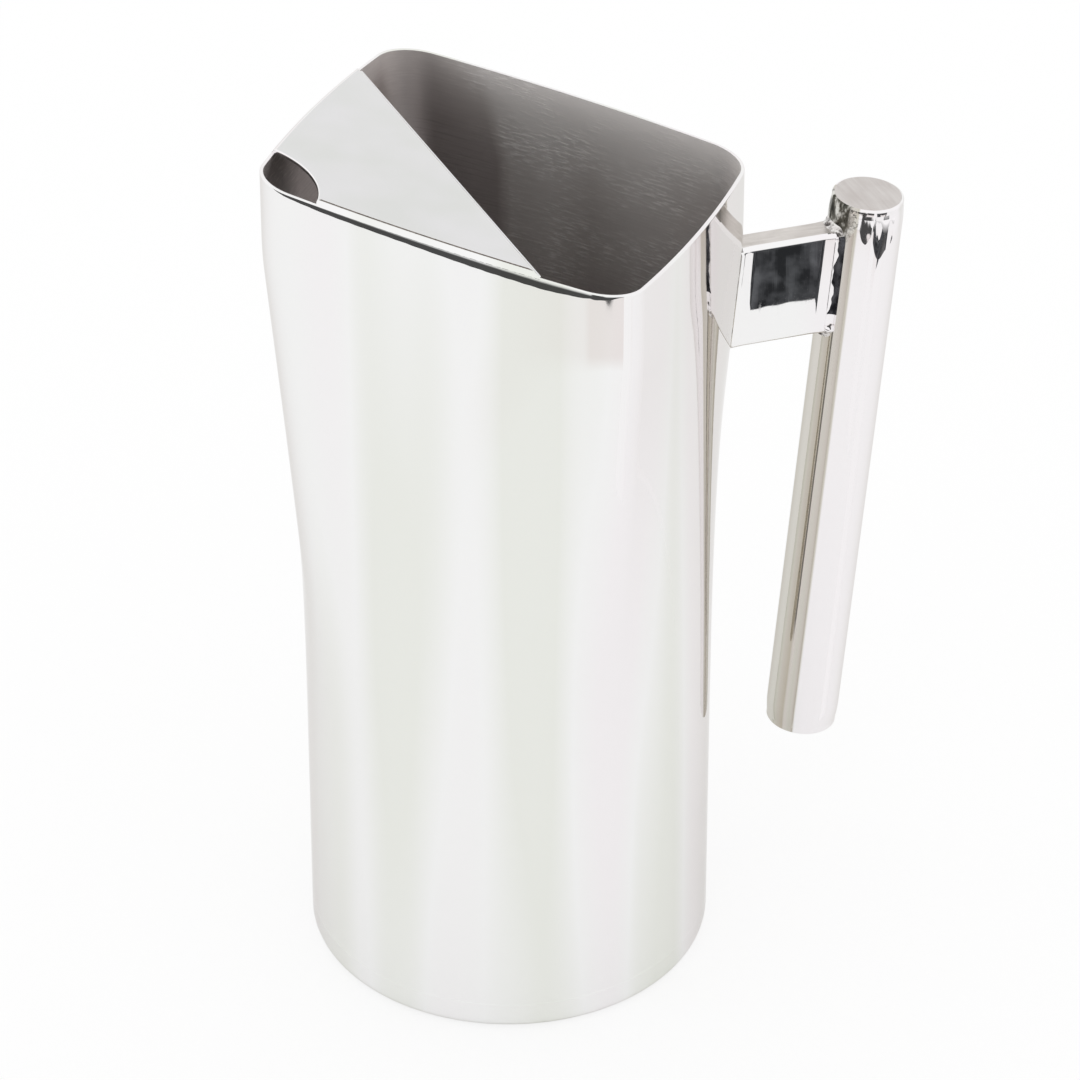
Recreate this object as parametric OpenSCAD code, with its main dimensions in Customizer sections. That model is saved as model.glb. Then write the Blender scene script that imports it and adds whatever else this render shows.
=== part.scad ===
// Slant-rimmed steel pitcher: a round body that turns square at the mouth, a welded
// ice guard over the spout corner, and a rod handle on a box-section arm.
// The body axis is Z, the spout points along -X and the handle along +X.
// The origin is the centre of the face that the pitcher stands on.

/* [Body] */
// Outside diameter of the round lower body
body_d = 104; // [94:1:116]
// Side of the square mouth, between the corners before they are rounded
mouth_side = 95.3; // [86:0.1:104]
// Outward bow at the middle of each side of the mouth
side_bow = 2.6; // [1:0.2:5]
// Corner radius of the mouth at the spout
spout_corner_r = 12.2; // [6:0.2:16]
// Corner radius of the mouth at its two side corners
side_corner_r = 12.4; // [6:0.2:16]
// Corner radius of the mouth at the handle
handle_corner_r = 13.2; // [8:0.2:18]
// Height of the rim on the body axis
rim_h = 228; // [216:1:250]
// Angle of the rim, which rises towards the spout
rim_slope = 11.8; // [4:0.2:16]
// Height on the body axis where the round wall starts to turn square
flare_start_h = 89; // [70:1:110]
// Height on the body axis of the square band below the rim, where the wall stands upright again
upright_h = 22; // [12:1:44]
// Half the height of the soft bend at the start of the flare
lower_bend = 27; // [10:1:40]
// Half the height of the bend at the end of the flare
upper_bend = 5; // [2:0.5:8]
// Thickness of the body sheet
wall_t = 0.9; // [0.6:0.1:1.4]

/* [Base] */
// Thickness of the bottom of the base pan
base_t = 1; // [0.6:0.1:1.6]
// Outside radius of the base pan's turned-up edge
base_edge_r = 3; // [2:0.5:6]
// Height of the base pan's upright flange
pan_h = 8; // [7:0.5:14]
// Height of the weld seam between the base pan and the body
seam_h = 1.2; // [0.8:0.1:2]

/* [Ice guard] */
// Thickness of the ice guard plate
guard_t = 1; // [0.6:0.1:1.6]
// Length of the guard from the face of the spout corner to its free edge
guard_len = 47.5; // [38:0.5:56]
// Radius of the pour hole's round edge
pour_hole_r = 23.3; // [19:0.5:28]
// Depth of the pour hole from the face of the spout corner
pour_depth = 12.1; // [8:0.1:18]
// Leg of the weld fillets that hold the guard to the wall
guard_bead = 1.5; // [1:0.1:2.5]

/* [Handle] */
// Gap between the face of the handle corner and the rod, at the middle of the arm
rod_gap = 25.3; // [20:0.1:36]
// Height of the rim on the body axis above the middle of the arm, at the rod's axis
arm_drop = 56.1; // [50:0.1:80]
// Lean of the rod away from the body, which the arm follows
handle_tilt = 5.3; // [0:0.1:8]
// Outside diameter of the rod
rod_d = 19; // [16:0.5:24]
// Wall of the rod's tube
rod_wall = 1.2; // [0.8:0.1:2]
// Height of the rod's lower end above the foot
rod_foot_h = 35.2; // [20:0.1:60]
// Length of the rod above the middle of the arm
rod_above = 22.7; // [18:0.5:34]
// Thickness of the rod's end caps
cap_t = 1.6; // [1:0.1:3]
// Rounding of the caps' outer edge
cap_edge_r = 0.6; // [0.3:0.1:0.9]
// Height of the arm's section
arm_h = 29.5; // [22:0.5:34]
// Width of the arm's section
arm_w = 8; // [6:0.5:11]
// Wall of the arm's section
arm_wall = 1.2; // [0.8:0.1:1.6]
// Outside corner radius of the arm's section
arm_corner_r = 1.5; // [0.5:0.1:2]
// Size of the weld beads round the arm's two ends
arm_bead = 1.2; // [0.8:0.1:2.2]

/* [Hidden] */
$fn = 96;
// Gap left between the arm and what it is welded to, which the bead bridges
weld_gap = 0.05;
// How far a cut runs past the face that it goes through
overrun = 1;
// Steps round each corner of the mouth and along each of its sides
corner_steps = 10;
side_steps = 13;
// Steps up the lower bend, the straight flare and the upper bend
lower_bend_steps = 8;
flare_steps = 4;
upper_bend_steps = 4;
// Half angle of the part of the wall that the arm's end is cut to
cope_angle = 60;

body_r = body_d / 2;
rod_r = rod_d / 2;
shell_z = pan_h + seam_h;
rim_drop = tan(rim_slope);
flare_end_h = rim_h - upright_h;
// Each side of the mouth is an arc of this radius, and its centre lies this far behind the axis
bow_r = (pow(mouth_side / 2, 2) + pow(side_bow, 2)) / (2 * side_bow);
bow_back = bow_r - side_bow - mouth_side / 2;
corner_radii = [handle_corner_r, side_corner_r, spout_corner_r, side_corner_r];
mouth_diagonal = sqrt(2) * mouth_side;

function along(angle) = [cos(angle), sin(angle)];
function steps(low, high, count) = [for (i = [1:count]) low + (high - low) * i / count];

// Distance from the axis to the centre of a corner arc that touches both of its side arcs
function corner_distance(r) = sqrt(pow(bow_r - r, 2) - pow(bow_back, 2) / 2) - bow_back / sqrt(2);
// Distance from the axis to the face of that corner
function corner_reach(r) = corner_distance(r) + r;
// Angle that a side arc covers from its middle to the corner arc of radius r
function side_angle(r) = asin(corner_distance(r) * sin(45) / (bow_r - r));

guard_edge_x = corner_reach(spout_corner_r) - guard_len;
pour_edge_x = corner_reach(spout_corner_r) - pour_depth;
handle_x = corner_reach(handle_corner_r) + rod_gap + rod_r;
handle_z = rim_h - arm_drop;
rod_len = rod_above + (handle_z - rod_foot_h) / cos(handle_tilt);

// Points round the mouth, starting at the handle corner, set in from the outer face by inset
function mouth_outline(inset) = [for (k = [0:3])
    let (
        corner = 90 * k,
        side = corner + 45,
        r = corner_radii[k],
        near = side_angle(r),
        far = side_angle(corner_radii[(k + 1) % 4]),
        centre = corner_distance(r) * along(corner)
    )
    each concat(
        [for (i = [0:corner_steps])
            centre + (r - inset) * along(corner + (45 - near) * (2 * i / corner_steps - 1))],
        [for (i = [1:side_steps - 1])
            (bow_r - inset) * along(side - near + (near + far) * i / side_steps)
            - bow_back * along(side)]
    )];

// Rises from 0 with slope 1 once x is past 0, through a soft bend of half width bend
function soft_rise(x, bend) = x < -bend ? 0 : x > bend ? x : pow(x + bend, 2) / (4 * bend);
// Share of the mouth's shape in the wall at height h on the axis: 0 is round, 1 is square
function square_share(h) = (soft_rise(h - flare_start_h, lower_bend)
    - soft_rise(h - flare_end_h, upper_bend)) / (flare_end_h - flare_start_h);
// Share of the rim's slope that a ring at height h has
function lean_share(h) = (h - shell_z) / (rim_h - shell_z);

// One ring of the wall, in a plane that leans with the rim
function wall_ring(inset, h) = [for (p = mouth_outline(inset))
    let (
        share = square_share(h),
        reach = share * norm(p) + (1 - share) * (body_r - inset),
        q = p * reach / norm(p)
    )
    [q.x, q.y, h - rim_drop * q.x * lean_share(h)]];

wall_levels = concat(
    [shell_z, flare_start_h - lower_bend],
    steps(flare_start_h - lower_bend, flare_start_h + lower_bend, lower_bend_steps),
    steps(flare_start_h + lower_bend, flare_end_h - upper_bend, flare_steps),
    steps(flare_end_h - upper_bend, flare_end_h + upper_bend, upper_bend_steps),
    [rim_h]);
function reversed(list) = [for (i = [len(list) - 1:-1:0]) list[i]];

// Triangles between each ring and the next, for rings that run anticlockwise seen from above
function band_faces(ring_count, size, closed) = [
    for (j = [0:ring_count - (closed ? 1 : 2)], i = [0:size - 1])
    let (
        k = (j + 1) % ring_count,
        next = (i + 1) % size,
        a = j * size + i,
        b = j * size + next,
        c = k * size + next,
        d = k * size + i
    )
    each [[a, c, b], [a, d, c]]];

// Skin through rings, with flat ends
module skin(rings) {
    size = len(rings[0]);
    count = len(rings);
    polyhedron(
        points = [for (ring = rings) each ring],
        faces = concat(
            band_faces(count, size, false),
            [[for (i = [0:size - 1]) i]],
            [[for (i = [size - 1:-1:0]) (count - 1) * size + i]]),
        convexity = 6);
}

// Skin through rings that closes on its first ring
module closed_skin(rings) {
    polyhedron(
        points = [for (ring = rings) each ring],
        faces = band_faces(len(rings), len(rings[0]), true),
        convexity = 6);
}

// The round lower wall turning into the square mouth, one thickness of sheet
module body_shell() {
    outside = [for (h = wall_levels) wall_ring(0, h)];
    inside = [for (h = reversed(wall_levels)) wall_ring(wall_t, h)];
    color("silver") closed_skin(concat(outside, inside));
}

// Half section of a dish with an upright flange and a rounded lower edge
module pan_section(r, edge_r, height) {
    square([r - edge_r, height]);
    translate([0, edge_r]) square([r, height - edge_r]);
    translate([r - edge_r, edge_r]) circle(r = edge_r);
}

// Pressed bottom with a turned-up flange
module base_pan() {
    color("gainsboro") rotate_extrude() intersection() {
        square([body_r, pan_h]);
        difference() {
            pan_section(body_r, base_edge_r, pan_h);
            translate([0, base_t])
                pan_section(body_r - wall_t, base_edge_r - wall_t, pan_h);
        }
    }
}

// Weld seam between the base pan and the body, ground flush
module base_seam_weld() {
    color("lightgray") translate([0, 0, pan_h]) difference() {
        cylinder(r = body_r, h = seam_h);
        translate([0, 0, -overrun])
            cylinder(r = body_r - wall_t, h = seam_h + 2 * overrun);
    }
}

// Slab of the given thickness that lies on the plane of the rim
module rim_slab(thickness) {
    translate([0, 0, rim_h]) rotate([0, rim_slope, 0])
        translate([-mouth_diagonal, -mouth_diagonal, 0])
            cube([2 * mouth_diagonal, 2 * mouth_diagonal, thickness]);
}

// Flat plate on the rim over the spout corner, with the pour hole cut out of that corner
module ice_guard() {
    color("whitesmoke") difference() {
        intersection() {
            linear_extrude(2 * rim_h) polygon(mouth_outline(0));
            rim_slab(guard_t);
            translate([-guard_edge_x - mouth_diagonal, -mouth_diagonal, 0])
                cube([mouth_diagonal, 2 * mouth_diagonal, 2 * rim_h]);
        }
        translate([-pour_edge_x - pour_hole_r, 0, 0])
            cylinder(r = pour_hole_r, h = 2 * rim_h);
    }
}

// Fillet between the wall and the underside of the guard, on the side that hand gives
module guard_weld(hand) {
    wall_line = mouth_outline(wall_t);
    edge_line = mouth_outline(wall_t + guard_bead);
    hole_centre = [-pour_edge_x - pour_hole_r, 0];
    welded = [for (i = [0:len(wall_line) - 1])
        if (hand * wall_line[i].y > 0
            && edge_line[i].x < -guard_edge_x - guard_bead
            && norm(edge_line[i] - hole_centre) > pour_hole_r + guard_bead) i];
    color("lightgray") skin([for (i = welded)
        let (
            wall = [wall_line[i].x, wall_line[i].y, rim_h - rim_drop * wall_line[i].x],
            edge = [edge_line[i].x, edge_line[i].y, rim_h - rim_drop * edge_line[i].x]
        )
        [wall, wall - [0, 0, guard_bead], edge]]);
}

// Places children on the rod's axis at the middle of the arm, with Z up the rod
module on_handle() {
    translate([handle_x, 0, handle_z]) rotate([0, handle_tilt, 0]) children();
}

// Rectangle with true round corners, centred, wide along X and high along Y
module rounded_rect(width, height, r) {
    square([width - 2 * r, height], center = true);
    square([width, height - 2 * r], center = true);
    for (x = [-1, 1], y = [-1, 1])
        translate([x * (width / 2 - r), y * (height / 2 - r)]) circle(r = r);
}

// Bar with the arm's section, grown by grow, from the rod's axis to just inside the body
module arm_bar(grow) {
    on_handle() rotate([0, -90, 0]) linear_extrude(handle_x - body_r + arm_w)
        rounded_rect(arm_h + 2 * grow, arm_w + 2 * grow, arm_corner_r + grow);
}

// Solid of the wall near the handle corner, grown by gap, for cutting what meets it
module wall_block(gap) {
    facing = [for (i = [0:4 * (corner_steps + side_steps) - 1])
        let (p = mouth_outline(0)[i]) if (abs(atan2(p.y, p.x)) < cope_angle) i];
    skin([for (h = wall_levels) if (h > flare_start_h)
        let (ring = wall_ring(-gap, h)) [for (i = facing) ring[i]]]);
}

// The rod's solid cylinder, grown by gap
module rod_block(gap) {
    on_handle() translate([0, 0, rod_above - rod_len]) cylinder(r = rod_r + gap, h = rod_len);
}

// Box-section arm, its ends cut to fit the body's corner and the rod
module handle_arm() {
    color("silver") difference() {
        arm_bar(0);
        on_handle() rotate([0, -90, 0]) linear_extrude(handle_x)
            rounded_rect(arm_h - 2 * arm_wall, arm_w - 2 * arm_wall, arm_corner_r / 2);
        rod_block(weld_gap);
        wall_block(weld_gap);
    }
}

// Bead round the arm where it meets the body
module arm_body_weld() {
    color("lightgray") difference() {
        intersection() {
            arm_bar(arm_bead);
            wall_block(arm_bead);
        }
        arm_bar(0);
        wall_block(weld_gap);
    }
}

// Bead round the arm where it meets the rod
module arm_rod_weld() {
    color("lightgray") difference() {
        intersection() {
            arm_bar(arm_bead);
            rod_block(arm_bead);
        }
        arm_bar(0);
        rod_block(weld_gap);
    }
}

// Tube of the handle, between its two caps
module handle_rod() {
    color("silver") on_handle() translate([0, 0, rod_above - rod_len + cap_t]) difference() {
        cylinder(r = rod_r, h = rod_len - 2 * cap_t);
        translate([0, 0, -overrun])
            cylinder(r = rod_r - rod_wall, h = rod_len - 2 * cap_t + 2 * overrun);
    }
}

// Disc with its outer edge rounded on the side away from the tube, which is at z = 0
module end_cap() {
    rotate_extrude() {
        square([rod_r - cap_edge_r, cap_t]);
        square([rod_r, cap_t - cap_edge_r]);
        translate([rod_r - cap_edge_r, cap_t - cap_edge_r]) circle(r = cap_edge_r);
    }
}

module rod_top_cap() {
    color("gainsboro") on_handle() translate([0, 0, rod_above - cap_t]) end_cap();
}

module rod_bottom_cap() {
    color("gainsboro") on_handle() translate([0, 0, rod_above - rod_len + cap_t])
        mirror([0, 0, 1]) end_cap();
}

body_shell();
base_pan();
base_seam_weld();
ice_guard();
guard_weld(-1);  // guard_weld_front
guard_weld(1);  // guard_weld_back
handle_arm();
arm_body_weld();
arm_rod_weld();
handle_rod();
rod_top_cap();
rod_bottom_cap();
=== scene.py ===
"""Looks of a welded steel pitcher: polished wall, brushed inside, satin ice guard and rod handle.

Shapes are worked out in millimetres and go into the meshes in metres.
"""

import bmesh
import bpy
import numpy as np
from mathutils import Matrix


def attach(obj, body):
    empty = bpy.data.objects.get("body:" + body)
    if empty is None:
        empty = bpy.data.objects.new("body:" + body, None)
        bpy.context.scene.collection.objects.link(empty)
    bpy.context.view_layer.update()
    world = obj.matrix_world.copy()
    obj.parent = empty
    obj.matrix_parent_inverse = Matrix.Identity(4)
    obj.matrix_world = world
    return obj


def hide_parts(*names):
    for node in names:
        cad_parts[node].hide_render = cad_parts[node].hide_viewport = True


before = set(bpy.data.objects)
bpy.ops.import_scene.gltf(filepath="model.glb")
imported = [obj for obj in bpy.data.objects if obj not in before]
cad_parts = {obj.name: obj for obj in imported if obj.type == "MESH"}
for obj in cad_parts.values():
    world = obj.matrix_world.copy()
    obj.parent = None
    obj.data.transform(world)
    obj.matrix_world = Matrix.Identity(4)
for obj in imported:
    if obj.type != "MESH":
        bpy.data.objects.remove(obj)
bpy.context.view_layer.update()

MM = 0.001
TURN = 2 * np.pi
MERGE = 0.002

# The wall: round below, square at the mouth, with a rim that slants up towards the spout
BODY_R = 52.0
MOUTH_SIDE = 95.3
SIDE_BOW = 2.6
CORNER_RADII = np.array([13.2, 12.4, 12.2, 12.4])
RIM_H = 228.0
RIM_SLOPE = np.radians(11.8)
RIM_DROP = np.tan(RIM_SLOPE)
UPRIGHT_H = 22.0
FLARE_START = 89.0
FLARE_END = RIM_H - UPRIGHT_H
LOWER_BEND = 27.0
UPPER_BEND = 5.0
WALL_T = 0.9
RIM_ROLL_SLOPE = 0.2
RIM_ROLL_X = [-64, -55, -40, -26, -15, -8, -3, 1]
RIM_ROLL_H = [0.5, 1.5, 2.0, 2.9, 3.3, 2.3, 0.9, 0.2]
RIM_ROLL_WAVES = ((0.05, 1.9, 0), (0.04, 4.3, 1))
RIM_EDGE_R = 0.22
ROLL_ZONE = 3.8
ROLL_ROWS = 20
WALL_ROWS = 126
INSIDE_ROWS = 70
CORNER_STEPS = 34
SIDE_STEPS = 56

# The foot
BASE_T = 1.0
BASE_EDGE_R = 3.0
PAN_H = 8.0
PAN_BEVEL = 0.05
SEAM_RISE = 0.015
SEAM_BEVEL = 0.3
SHELL_Z = 9.2
FOOT_STEPS = 256

# The ice guard and its pour hole
GUARD_T = 1.0
GUARD_LEN = 47.5
GUARD_BAND = 1.35
GUARD_EDGE = 0.4
GUARD_LOW = 0.25
GUARD_GROOVE = 0.7
GROOVE_STEPS = (0.1, 0.9, 1.0, 1.2)
GROOVE_DIP = 0.1
POUR_R = 23.3
POUR_DEPTH = 12.1
GUARD_START = np.radians(8)
GUARD_SINK = 1.2
GUARD_UNDER = 0.02
GUARD_CORNER = 0.3
GUARD_STEPS = (110, 50, 60)
FRONT_RUN = 2
WALL_RUNS = (0, FRONT_RUN)
GUARD_ROUNDS = 24
GUARD_BEAD = 1.5
BEAD_RIPPLES = ((0.12, 34 * TURN, 0), (0.04, 9 * TURN, 0))
BEAD_STEPS = 260

# The handle, whose rod leans away from the body
HANDLE_STEPS = 192
HANDLE_TILT = np.radians(5.3)
ROD_R = 9.5
ROD_WALL = 1.2
ROD_GAP = 25.3
ROD_FOOT_H = 35.2
ROD_ABOVE = 22.7
ROD_DRAW = 0.34
ROD_DRAW_H = 5.0
ROD_END_ZONE = 9
CAP_T = 1.6
CAP_EDGE_R = 0.6
ARM_DROP = 56.1
ARM_H = 29.5
ARM_W = 8.0
ARM_TOP_R = 1.7
ARM_TOP_GROUND = np.radians(58)
ARM_EDGE_R = 1.5
ARM_CROWN = 0.05
ARM_HOLLOW = 0.36
ARM_HOLLOW_FROM = 0.8
ARM_HOLLOW_RUN = 4.4
ARM_SINK = 0.3
ARM_ROWS = 70
ARM_STEPS = 120
WALL_ROUNDS = 12
FILLET_WALL_R = (2.4, 0.96)
FILLET_ROD_R = (2.8, 1.54)
FILLET_SINK = 0.25
FILLET_ROWS = 8
FILLET_STEPS = 171
FILLET_FROM = 0.3
FILLET_TO = 3
HALVINGS = 26
TOE_AT_WALL = 0.42
TOE_AT_ROD = 0.72
TOE_WAVES = ((0.2, 0.5, 0), (0.1, 1.3, 0.5), (0.04, 2.7, 0))


def unit(angle):
    """Unit vectors in the plane at the given angles."""
    return np.stack([np.cos(angle), np.sin(angle)], axis=-1)


def ease(t):
    """Smooth step: 0 below 0, 1 above 1, and 3tt - 2ttt between."""
    t = np.clip(t, 0, 1)
    return t * t * (3 - 2 * t)


def sines(x, terms):
    """Sum of sines of x, each with its own height, rate and start."""
    return sum(height * np.sin(rate * x + start) for height, rate, start in terms)


def resample(line, count):
    """The same line of points, with count points evenly spaced along its length."""
    steps = np.linalg.norm(np.diff(line, axis=0), axis=1)
    length = np.concatenate([[0], np.cumsum(steps)])
    places = np.linspace(0, length[-1], count)
    return np.stack([np.interp(places, length, line[:, k]) for k in range(line.shape[1])], axis=-1)


BOW_R = ((MOUTH_SIDE / 2) ** 2 + SIDE_BOW ** 2) / (2 * SIDE_BOW)
BOW_BACK = BOW_R - SIDE_BOW - MOUTH_SIDE / 2


def corner_distance(r):
    """Distance from the axis to the centre of a corner arc that touches both of its side arcs."""
    return np.sqrt((BOW_R - r) ** 2 - BOW_BACK ** 2 / 2) - BOW_BACK / np.sqrt(2)


def mouth_outline(corner_steps, side_steps):
    """Points round the mouth from the handle corner, and their outward normals.

    Each corner is an arc about a point on its diagonal. Each side is an arc of a much larger circle,
    whose centre lies behind the axis. Neighbouring arcs meet where their normals agree.
    """
    points, normals = [], []
    distance = corner_distance(CORNER_RADII)
    half_side = np.arcsin(distance * np.sin(np.pi / 4) / (BOW_R - CORNER_RADII))
    for k in range(4):
        corner = k * np.pi / 2
        side = corner + np.pi / 4
        near, far = half_side[k], half_side[(k + 1) % 4]
        turn = corner + (np.pi / 4 - near) * np.linspace(-1, 1, corner_steps, endpoint=False)
        points.append(distance[k] * unit(corner) + CORNER_RADII[k] * unit(turn))
        normals.append(unit(turn))
        turn = side - near + (near + far) * np.linspace(0, 1, side_steps, endpoint=False)
        points.append(BOW_R * unit(turn) - BOW_BACK * unit(side))
        normals.append(unit(turn))
    return np.concatenate(points), np.concatenate(normals)


OUTLINE, OUTLINE_NORMALS = mouth_outline(CORNER_STEPS, SIDE_STEPS)
SPOUT_X = -corner_distance(CORNER_RADII[2]) - CORNER_RADII[2]
HANDLE_CORNER_X = corner_distance(CORNER_RADII[0]) + CORNER_RADII[0]
GUARD_EDGE_X = SPOUT_X + GUARD_LEN
POUR_CENTRE = np.array([SPOUT_X + POUR_DEPTH - POUR_R, 0.0])
ROD_X = HANDLE_CORNER_X + ROD_GAP + ROD_R
ARM_Z = RIM_H - ARM_DROP
ROD_BELOW = (ARM_Z - ROD_FOOT_H) / np.cos(HANDLE_TILT)


def soft_rise(x, bend):
    """0 below -bend, x above bend, and a parabola that joins them between."""
    return np.where(x < -bend, 0, np.where(x > bend, x, (x + bend) ** 2 / (4 * bend)))


def square_share(h):
    """How far the wall has turned from round, 0, to square, 1, at height h on the axis."""
    rise = soft_rise(h - FLARE_START, LOWER_BEND) - soft_rise(h - FLARE_END, UPPER_BEND)
    return rise / (FLARE_END - FLARE_START)


def wall_rings(h, inset):
    """Rings of the wall for heights h on the axis, set in from the outer face by inset.

    A ring runs in the directions of the square outline's points. Its distance from the axis is
    share times the square outline's plus 1 - share times the round body's. Its height is h less
    the rim's slope times x, in proportion to how far up the wall the ring is.
    """
    inset = np.broadcast_to(np.asarray(inset, float), (len(h), len(OUTLINE)))[..., None]
    square = OUTLINE - inset * OUTLINE_NORMALS
    reach = np.linalg.norm(square, axis=-1, keepdims=True)
    share = square_share(h)[:, None, None]
    plan = square / reach * (share * reach + (1 - share) * (BODY_R - inset))
    lean = ((h - SHELL_Z) / (RIM_H - SHELL_Z))[:, None, None]
    return np.concatenate([plan, h[:, None, None] - RIM_DROP * plan[..., :1] * lean], axis=-1)


def on_handle(points):
    """Moves points from the handle's frame, with its origin at the arm's middle, to the pitcher's."""
    out, side, up = points[..., 0], points[..., 1], points[..., 2]
    x = ROD_X + out * np.cos(HANDLE_TILT) + up * np.sin(HANDLE_TILT)
    z = ARM_Z - out * np.sin(HANDLE_TILT) + up * np.cos(HANDLE_TILT)
    return np.stack([x, side, z], axis=-1)


def lathe(profile, steps):
    """Turns a profile of (radius, height) points round the axis, as rows of rings."""
    turn = unit(np.linspace(0, TURN, steps, endpoint=False))
    ring = profile[:, :1, None] * turn[None]
    height = np.broadcast_to(profile[:, 1:, None], (len(profile), steps, 1))
    return np.concatenate([ring, height], axis=-1)


def arc(centre, radius, start, end, count):
    """Points on a circular arc, angles in degrees."""
    return np.array(centre) + radius * unit(np.radians(np.linspace(start, end, count)))


def lengths_uv(points, wrap_rows, wrap_cols):
    """Metres along the columns and the rows of a grid, one step more where it closes on itself."""
    rows = np.concatenate([points, points[:1]]) if wrap_rows else points
    grid = np.concatenate([rows, rows[:, :1]], axis=1) if wrap_cols else rows
    across = np.linalg.norm(np.diff(grid, axis=1), axis=-1).max(axis=0)
    along = np.linalg.norm(np.diff(grid, axis=0), axis=-1).max(axis=1)
    u = np.concatenate([[0], np.cumsum(across)])
    v = np.concatenate([[0], np.cumsum(along)])
    return np.stack(np.broadcast_arrays(u[None, :], v[:, None]), axis=-1) * MM


class Piece:
    """Collects grids of points, in millimetres, and makes one closed mesh of them."""

    def __init__(self, name):
        self.name = name
        self.points, self.faces, self.uvs, self.finish_of_face = [], [], [], []
        self.count = 0

    def grid(self, points, wrap_rows=False, wrap_cols=False, finish=0):
        """Adds the quads between neighbouring points of a grid, with lengths as their UV."""
        rows, cols = points.shape[:2]
        i, j = np.meshgrid(np.arange(rows - 1 + wrap_rows), np.arange(cols - 1 + wrap_cols),
                           indexing="ij")
        row = np.stack([i, i, i + 1, i + 1], axis=-1).reshape(-1, 4)
        col = np.stack([j, j + 1, j + 1, j], axis=-1).reshape(-1, 4)
        self.faces += (row % rows * cols + col % cols + self.count).tolist()
        self.uvs.append(lengths_uv(points, wrap_rows, wrap_cols)[row, col].reshape(-1, 2))
        self.finish_of_face += np.broadcast_to(finish, i.shape).astype(int).ravel().tolist()
        self.points.append(points.reshape(-1, 3))
        self.count += rows * cols
        return self

    def flat(self, loop, finish=0):
        """Adds one flat face inside a loop of points, with its plan as its UV."""
        self.faces.append(list(range(self.count, self.count + len(loop))))
        self.uvs.append(loop[:, :2] * MM)
        self.finish_of_face.append(finish)
        self.points.append(loop)
        self.count += len(loop)

    def make(self, finishes, slot, *nodes, sharp=40):
        """Builds the mesh, closes its seams and poles and puts it in the place of CAD nodes."""
        mesh = bpy.data.meshes.new(self.name)
        mesh.from_pydata((np.concatenate(self.points) * MM).tolist(), [], self.faces)
        mesh.polygons.foreach_set("material_index", self.finish_of_face)
        mesh.uv_layers.new(name="lengths").data.foreach_set("uv", np.concatenate(self.uvs).ravel())
        work = bmesh.new()
        work.from_mesh(mesh)
        bmesh.ops.remove_doubles(work, verts=work.verts, dist=MERGE * MM)
        bmesh.ops.recalc_face_normals(work, faces=work.faces)
        work.to_mesh(mesh)
        work.free()
        mesh.polygons.foreach_set("use_smooth", [True] * len(mesh.polygons))
        mesh.set_sharp_from_angle(angle=np.radians(sharp))
        for finish in finishes:
            mesh.materials.append(finish)
        thing = bpy.data.objects.new(self.name, mesh)
        bpy.context.scene.collection.objects.link(thing)
        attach(thing, "root")
        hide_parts(*nodes)


PURE_WHITE = (1, 1, 1, 1)


class Value:
    """A socket's value, on which + - * / and powers add Math nodes."""

    def __init__(self, look, socket):
        self.look, self.socket = look, socket

    def math(self, operation, first, second):
        """Adds a Math node and gives its result."""
        return self.look.node("ShaderNodeMath", {"operation": operation}, {0: first, 1: second})

    def __add__(self, other):
        return self.math("ADD", self, other)

    def __radd__(self, other):
        return self.math("ADD", other, self)

    def __sub__(self, other):
        return self.math("SUBTRACT", self, other)

    def __rsub__(self, other):
        return self.math("SUBTRACT", other, self)

    def __mul__(self, other):
        return self.math("MULTIPLY", self, other)

    def __rmul__(self, other):
        return self.math("MULTIPLY", other, self)

    def __truediv__(self, other):
        return self.math("DIVIDE", self, other)

    def __neg__(self):
        return self.math("MULTIPLY", self, -1.0)

    def __pow__(self, other):
        return self.math("POWER", self, other)


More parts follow.
